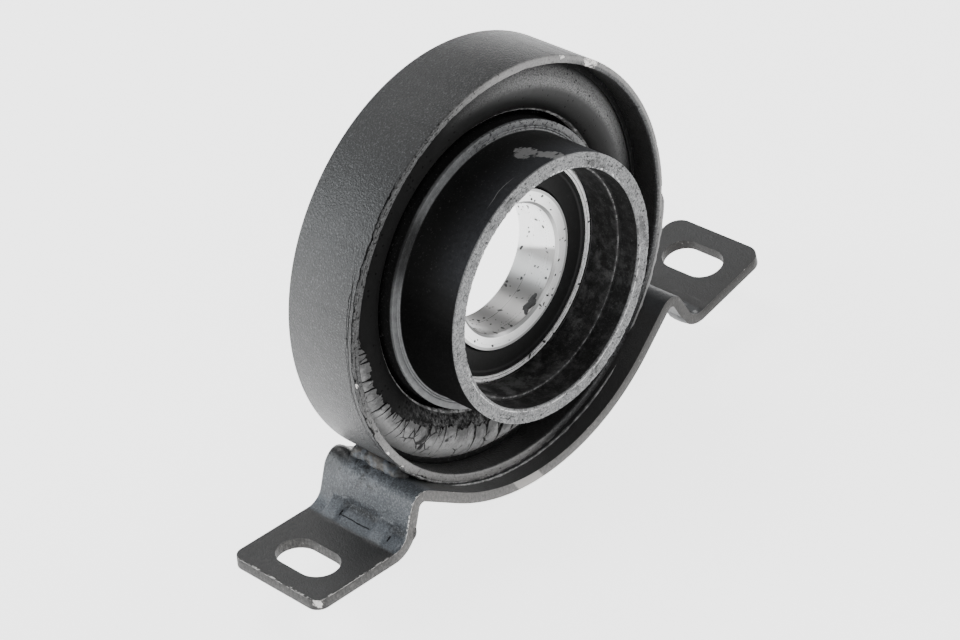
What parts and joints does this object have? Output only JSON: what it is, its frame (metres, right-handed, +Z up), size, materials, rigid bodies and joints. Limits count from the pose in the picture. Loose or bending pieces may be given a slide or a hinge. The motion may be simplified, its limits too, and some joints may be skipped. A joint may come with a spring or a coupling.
{
  "type": "driveshaft centre bearing",
  "caption": "Centre support for a two-piece driveshaft: sealed ball bearing in a rolled rubber mount with a long collar, in a steel ring welded to a slotted strap.",
  "frame": {"origin": "centre of the ball bearing, on the shaft axis at half the bearing's width", "axes": "-Y along the shaft axis towards the long rubber collar, +X towards one bolt tab, +Z up from the strap through the bearing"},
  "size_m": [0.1742, 0.0393, 0.1175],
  "materials": {
    "ring_paint": "satin black coat with fine grain, worn on the rim",
    "strap_paint": "satin dark grey coat, chipped on the sheared edges",
    "weld_paint": "rough, thinly coated",
    "mount_rubber": "matte, with a pale flaking film",
    "seal_rubber": "satin",
    "race_steel": "ground",
    "cage_steel": "pressed",
    "ball_steel": "polished"
  },
  "bodies": {
    "housing": {"outer_ring": "ring_paint", "support_strap": "strap_paint", "weld_left": "weld_paint", "weld_right": "weld_paint", "rubber_mount": "mount_rubber", "outer_race": "race_steel", "seal_front": "seal_rubber", "seal_rear": "seal_rubber"},
    "shaft_race": {"inner_race": "race_steel"},
    "cage": {"cage_front": "cage_steel", "cage_rear": "cage_steel", "cage_rivets": "cage_steel"},
    "ball_01": {"ball_01": "ball_steel"},
    "ball_02": {"ball_02": "ball_steel"},
    "ball_03": {"ball_03": "ball_steel"},
    "ball_04": {"ball_04": "ball_steel"},
    "ball_05": {"ball_05": "ball_steel"},
    "ball_06": {"ball_06": "ball_steel"},
    "ball_07": {"ball_07": "ball_steel"},
    "ball_08": {"ball_08": "ball_steel"},
    "ball_09": {"ball_09": "ball_steel"},
    "ball_10": {"ball_10": "ball_steel"},
    "ball_11": {"ball_11": "ball_steel"}
  },
  "joints": [
    {"name": "shaft_turn", "type": "hinge", "parent": "housing", "child": "shaft_race", "pos_m": [0, 0, 0], "axis": [0, 1, 0], "continuous": true},
    {"name": "cage_turn", "type": "hinge", "parent": "housing", "child": "cage", "pos_m": [0, 0, 0], "axis": [0, 1, 0], "continuous": true},
    {"name": "ball_01_spin", "type": "hinge", "parent": "cage", "child": "ball_01", "pos_m": [0.02425, 0, 0], "axis": [0, 1, 0], "continuous": true},
    {"name": "ball_02_spin", "type": "hinge", "parent": "cage", "child": "ball_02", "pos_m": [0.0204, 0, -0.01311], "axis": [0, 1, 0], "continuous": true},
    {"name": "ball_03_spin", "type": "hinge", "parent": "cage", "child": "ball_03", "pos_m": [0.01007, 0, -0.02206], "axis": [0, 1, 0], "continuous": true},
    {"name": "ball_04_spin", "type": "hinge", "parent": "cage", "child": "ball_04", "pos_m": [-0.00345, 0, -0.024], "axis": [0, 1, 0], "continuous": true},
    {"name": "ball_05_spin", "type": "hinge", "parent": "cage", "child": "ball_05", "pos_m": [-0.01588, 0, -0.01833], "axis": [0, 1, 0], "continuous": true},
    {"name": "ball_06_spin", "type": "hinge", "parent": "cage", "child": "ball_06", "pos_m": [-0.02327, 0, -0.00683], "axis": [0, 1, 0], "continuous": true},
    {"name": "ball_07_spin", "type": "hinge", "parent": "cage", "child": "ball_07", "pos_m": [-0.02327, 0, 0.00683], "axis": [0, 1, 0], "continuous": true},
    {"name": "ball_08_spin", "type": "hinge", "parent": "cage", "child": "ball_08", "pos_m": [-0.01588, 0, 0.01833], "axis": [0, 1, 0], "continuous": true},
    {"name": "ball_09_spin", "type": "hinge", "parent": "cage", "child": "ball_09", "pos_m": [-0.00345, 0, 0.024], "axis": [0, 1, 0], "continuous": true},
    {"name": "ball_10_spin", "type": "hinge", "parent": "cage", "child": "ball_10", "pos_m": [0.01007, 0, 0.02206], "axis": [0, 1, 0], "continuous": true},
    {"name": "ball_11_spin", "type": "hinge", "parent": "cage", "child": "ball_11", "pos_m": [0.0204, 0, 0.01311], "axis": [0, 1, 0], "continuous": true}
  ],
  "couplings": [
    {"joint": "cage_turn", "follows": "shaft_turn", "ratio": 0.41816},
    {"joint": "ball_01_spin", "follows": "shaft_turn", "ratio": -2.9731},
    {"joint": "ball_02_spin", "follows": "shaft_turn", "ratio": -2.9731},
    {"joint": "ball_03_spin", "follows": "shaft_turn", "ratio": -2.9731},
    {"joint": "ball_04_spin", "follows": "shaft_turn", "ratio": -2.9731},
    {"joint": "ball_05_spin", "follows": "shaft_turn", "ratio": -2.9731},
    {"joint": "ball_06_spin", "follows": "shaft_turn", "ratio": -2.9731},
    {"joint": "ball_07_spin", "follows": "shaft_turn", "ratio": -2.9731},
    {"joint": "ball_08_spin", "follows": "shaft_turn", "ratio": -2.9731},
    {"joint": "ball_09_spin", "follows": "shaft_turn", "ratio": -2.9731},
    {"joint": "ball_10_spin", "follows": "shaft_turn", "ratio": -2.9731},
    {"joint": "ball_11_spin", "follows": "shaft_turn", "ratio": -2.9731}
  ]
}
